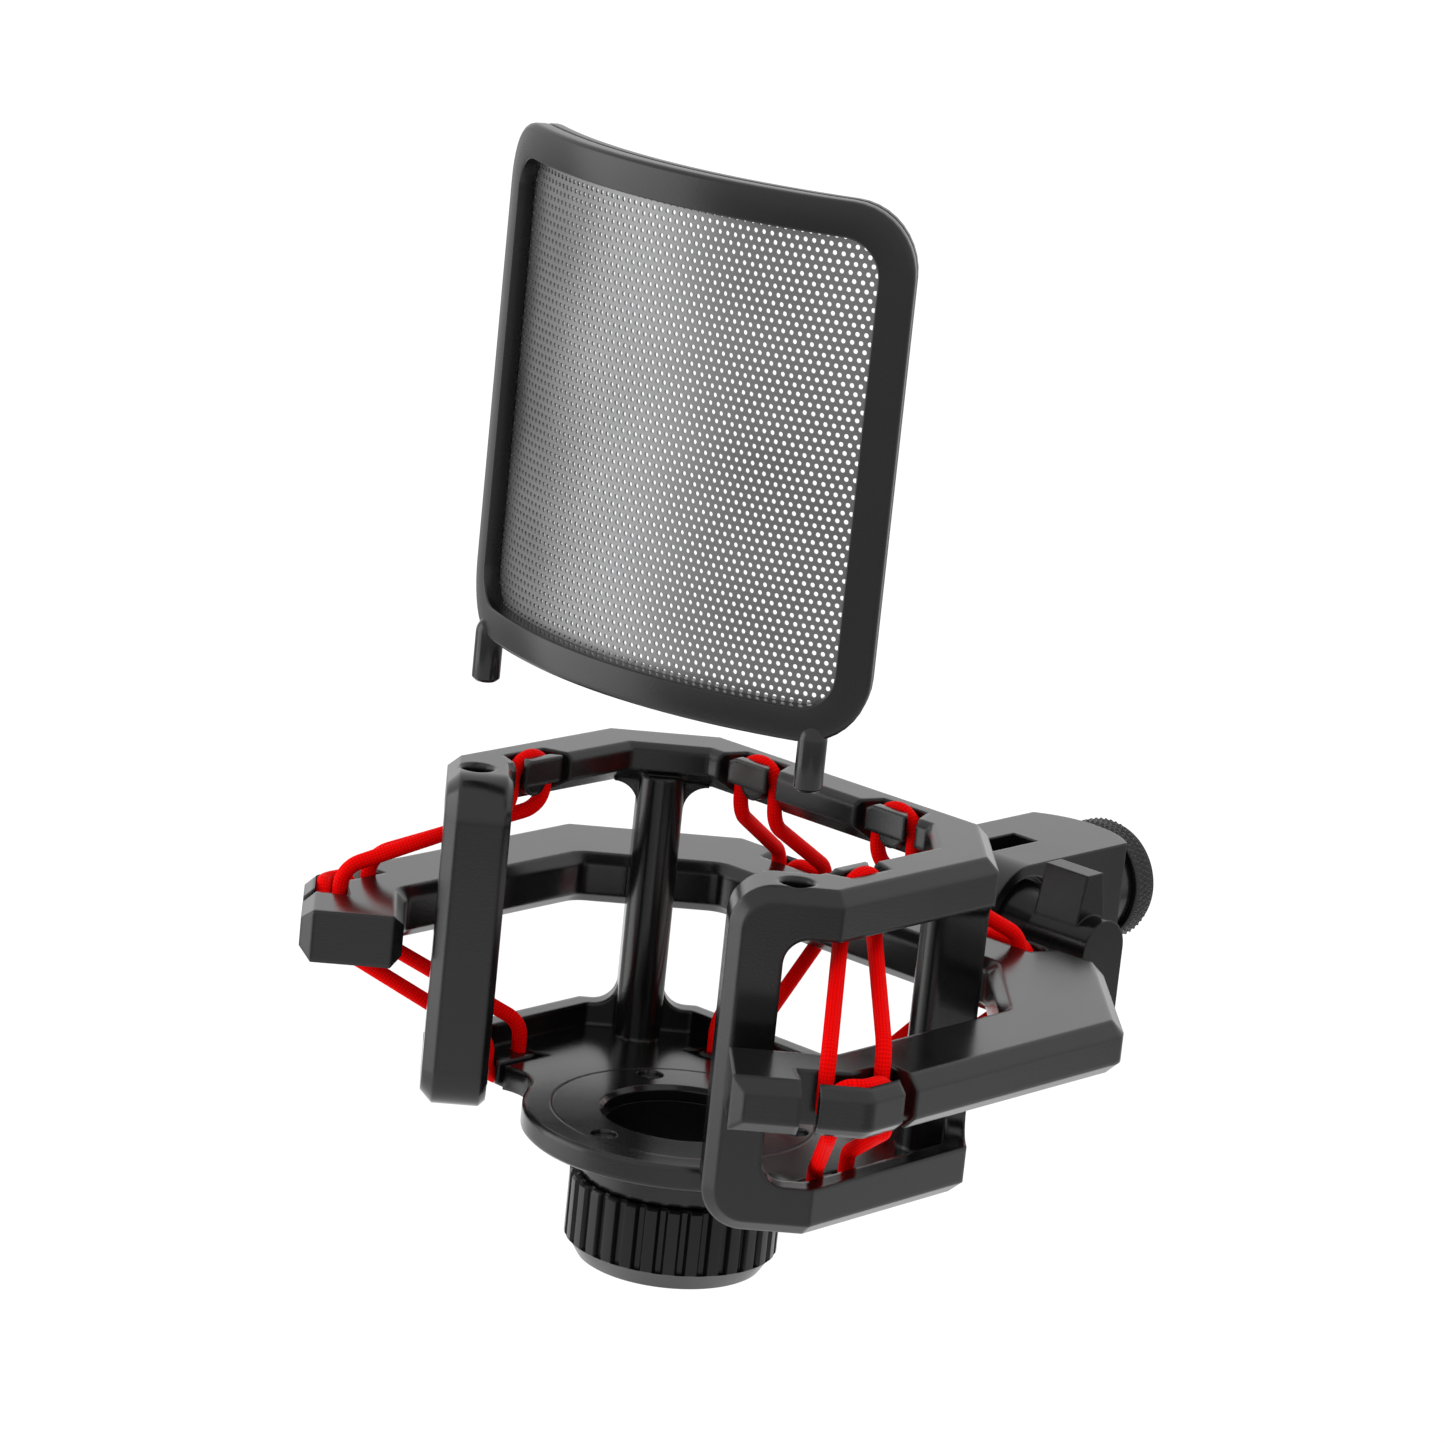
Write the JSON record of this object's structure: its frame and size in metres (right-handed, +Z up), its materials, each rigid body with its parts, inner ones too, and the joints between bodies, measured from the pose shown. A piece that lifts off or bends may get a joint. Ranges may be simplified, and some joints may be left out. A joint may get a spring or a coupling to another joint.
{
  "type": "microphone shock mount with pop filter",
  "caption": "Open-fronted black microphone shock mount hung on red elastic bands, with a plug-in curved rectangular mesh pop filter above and a tilting stand swivel behind.",
  "frame": {"origin": "centre of the microphone seat's bore, on the microphone's axis", "axes": "+Z up along the microphone's axis, -Y the open front that faces the talker, +Y towards the stand, +X the clamp lever's side"},
  "size_m": [0.1284, 0.1534, 0.1878],
  "materials": {
    "black_body": "satin black moulded body with soft bevels",
    "black_seat": "satin",
    "screw_steel": "blackened steel",
    "black_nut": "satin, ribbed",
    "black_filter": "satin",
    "screen_mesh": "satin perforated",
    "pin_metal": "satin black",
    "black_swivel": "satin black",
    "washer_grey": "matt fibre",
    "bolt_black": "satin black",
    "lever_black": "satin black",
    "red_elastic": "matt woven cover over an elastic core"
  },
  "bodies": {
    "swivel": {"swivel_block": "black_swivel", "friction_washer_left": "washer_grey", "friction_washer_right": "washer_grey", "pivot_bolt": "bolt_black", "ring_clip": "bolt_black"},
    "suspension_frame": {"outer_frame": "black_body", "band_upper_front_left": "red_elastic", "band_lower_front_left": "red_elastic", "band_upper_front_right": "red_elastic", "band_lower_front_right": "red_elastic", "band_upper_rear_left": "red_elastic", "band_lower_rear_left": "red_elastic", "band_upper_rear_right": "red_elastic", "band_lower_rear_right": "red_elastic"},
    "cradle": {"cradle_frame": "black_body", "seat_ring": "black_seat", "seat_screw_1": "screw_steel", "seat_screw_2": "screw_steel", "seat_screw_3": "screw_steel"},
    "nut": {"lock_nut": "black_nut"},
    "filter": {"filter_bezel": "black_filter", "filter_screen": "screen_mesh", "filter_back": "black_filter", "filter_pin_left": "pin_metal", "filter_pin_right": "pin_metal"},
    "lever": {"clamp_lever": "lever_black"},
    "ring": {"stand_ring": "black_swivel"}
  },
  "joints": [
    {"name": "tilt", "type": "hinge", "parent": "swivel", "child": "suspension_frame", "pos_m": [0, 0.0726, 0.0267], "axis": [1, 0, 0], "range_deg": [-60, 60]},
    {"name": "bounce", "type": "slide", "parent": "suspension_frame", "child": "cradle", "axis": [0, 0, 1], "range_m": [-0.004, 0.004], "stiffness_N_per_m": 2500, "deforming": ["band_upper_front_left", "band_lower_front_left", "band_upper_front_right", "band_lower_front_right", "band_upper_rear_left", "band_lower_rear_left", "band_upper_rear_right", "band_lower_rear_right"]},
    {"name": "nut_turn", "type": "hinge", "parent": "cradle", "child": "nut", "pos_m": [0, 0, -0.01], "axis": [0, 0, 1], "continuous": true},
    {"name": "filter_lift", "type": "slide", "parent": "cradle", "child": "filter", "axis": [0, 0, 1], "range_m": [-0.02195, 0]},
    {"name": "lever_turn", "type": "hinge", "parent": "swivel", "child": "lever", "pos_m": [0.017, 0.0726, 0.0267], "axis": [1, 0, 0], "range_deg": [-60, 60]},
    {"name": "ring_spin", "type": "hinge", "parent": "swivel", "child": "ring", "pos_m": [0, 0.1067, 0.0267], "axis": [0, 1, 0], "continuous": true}
  ]
}
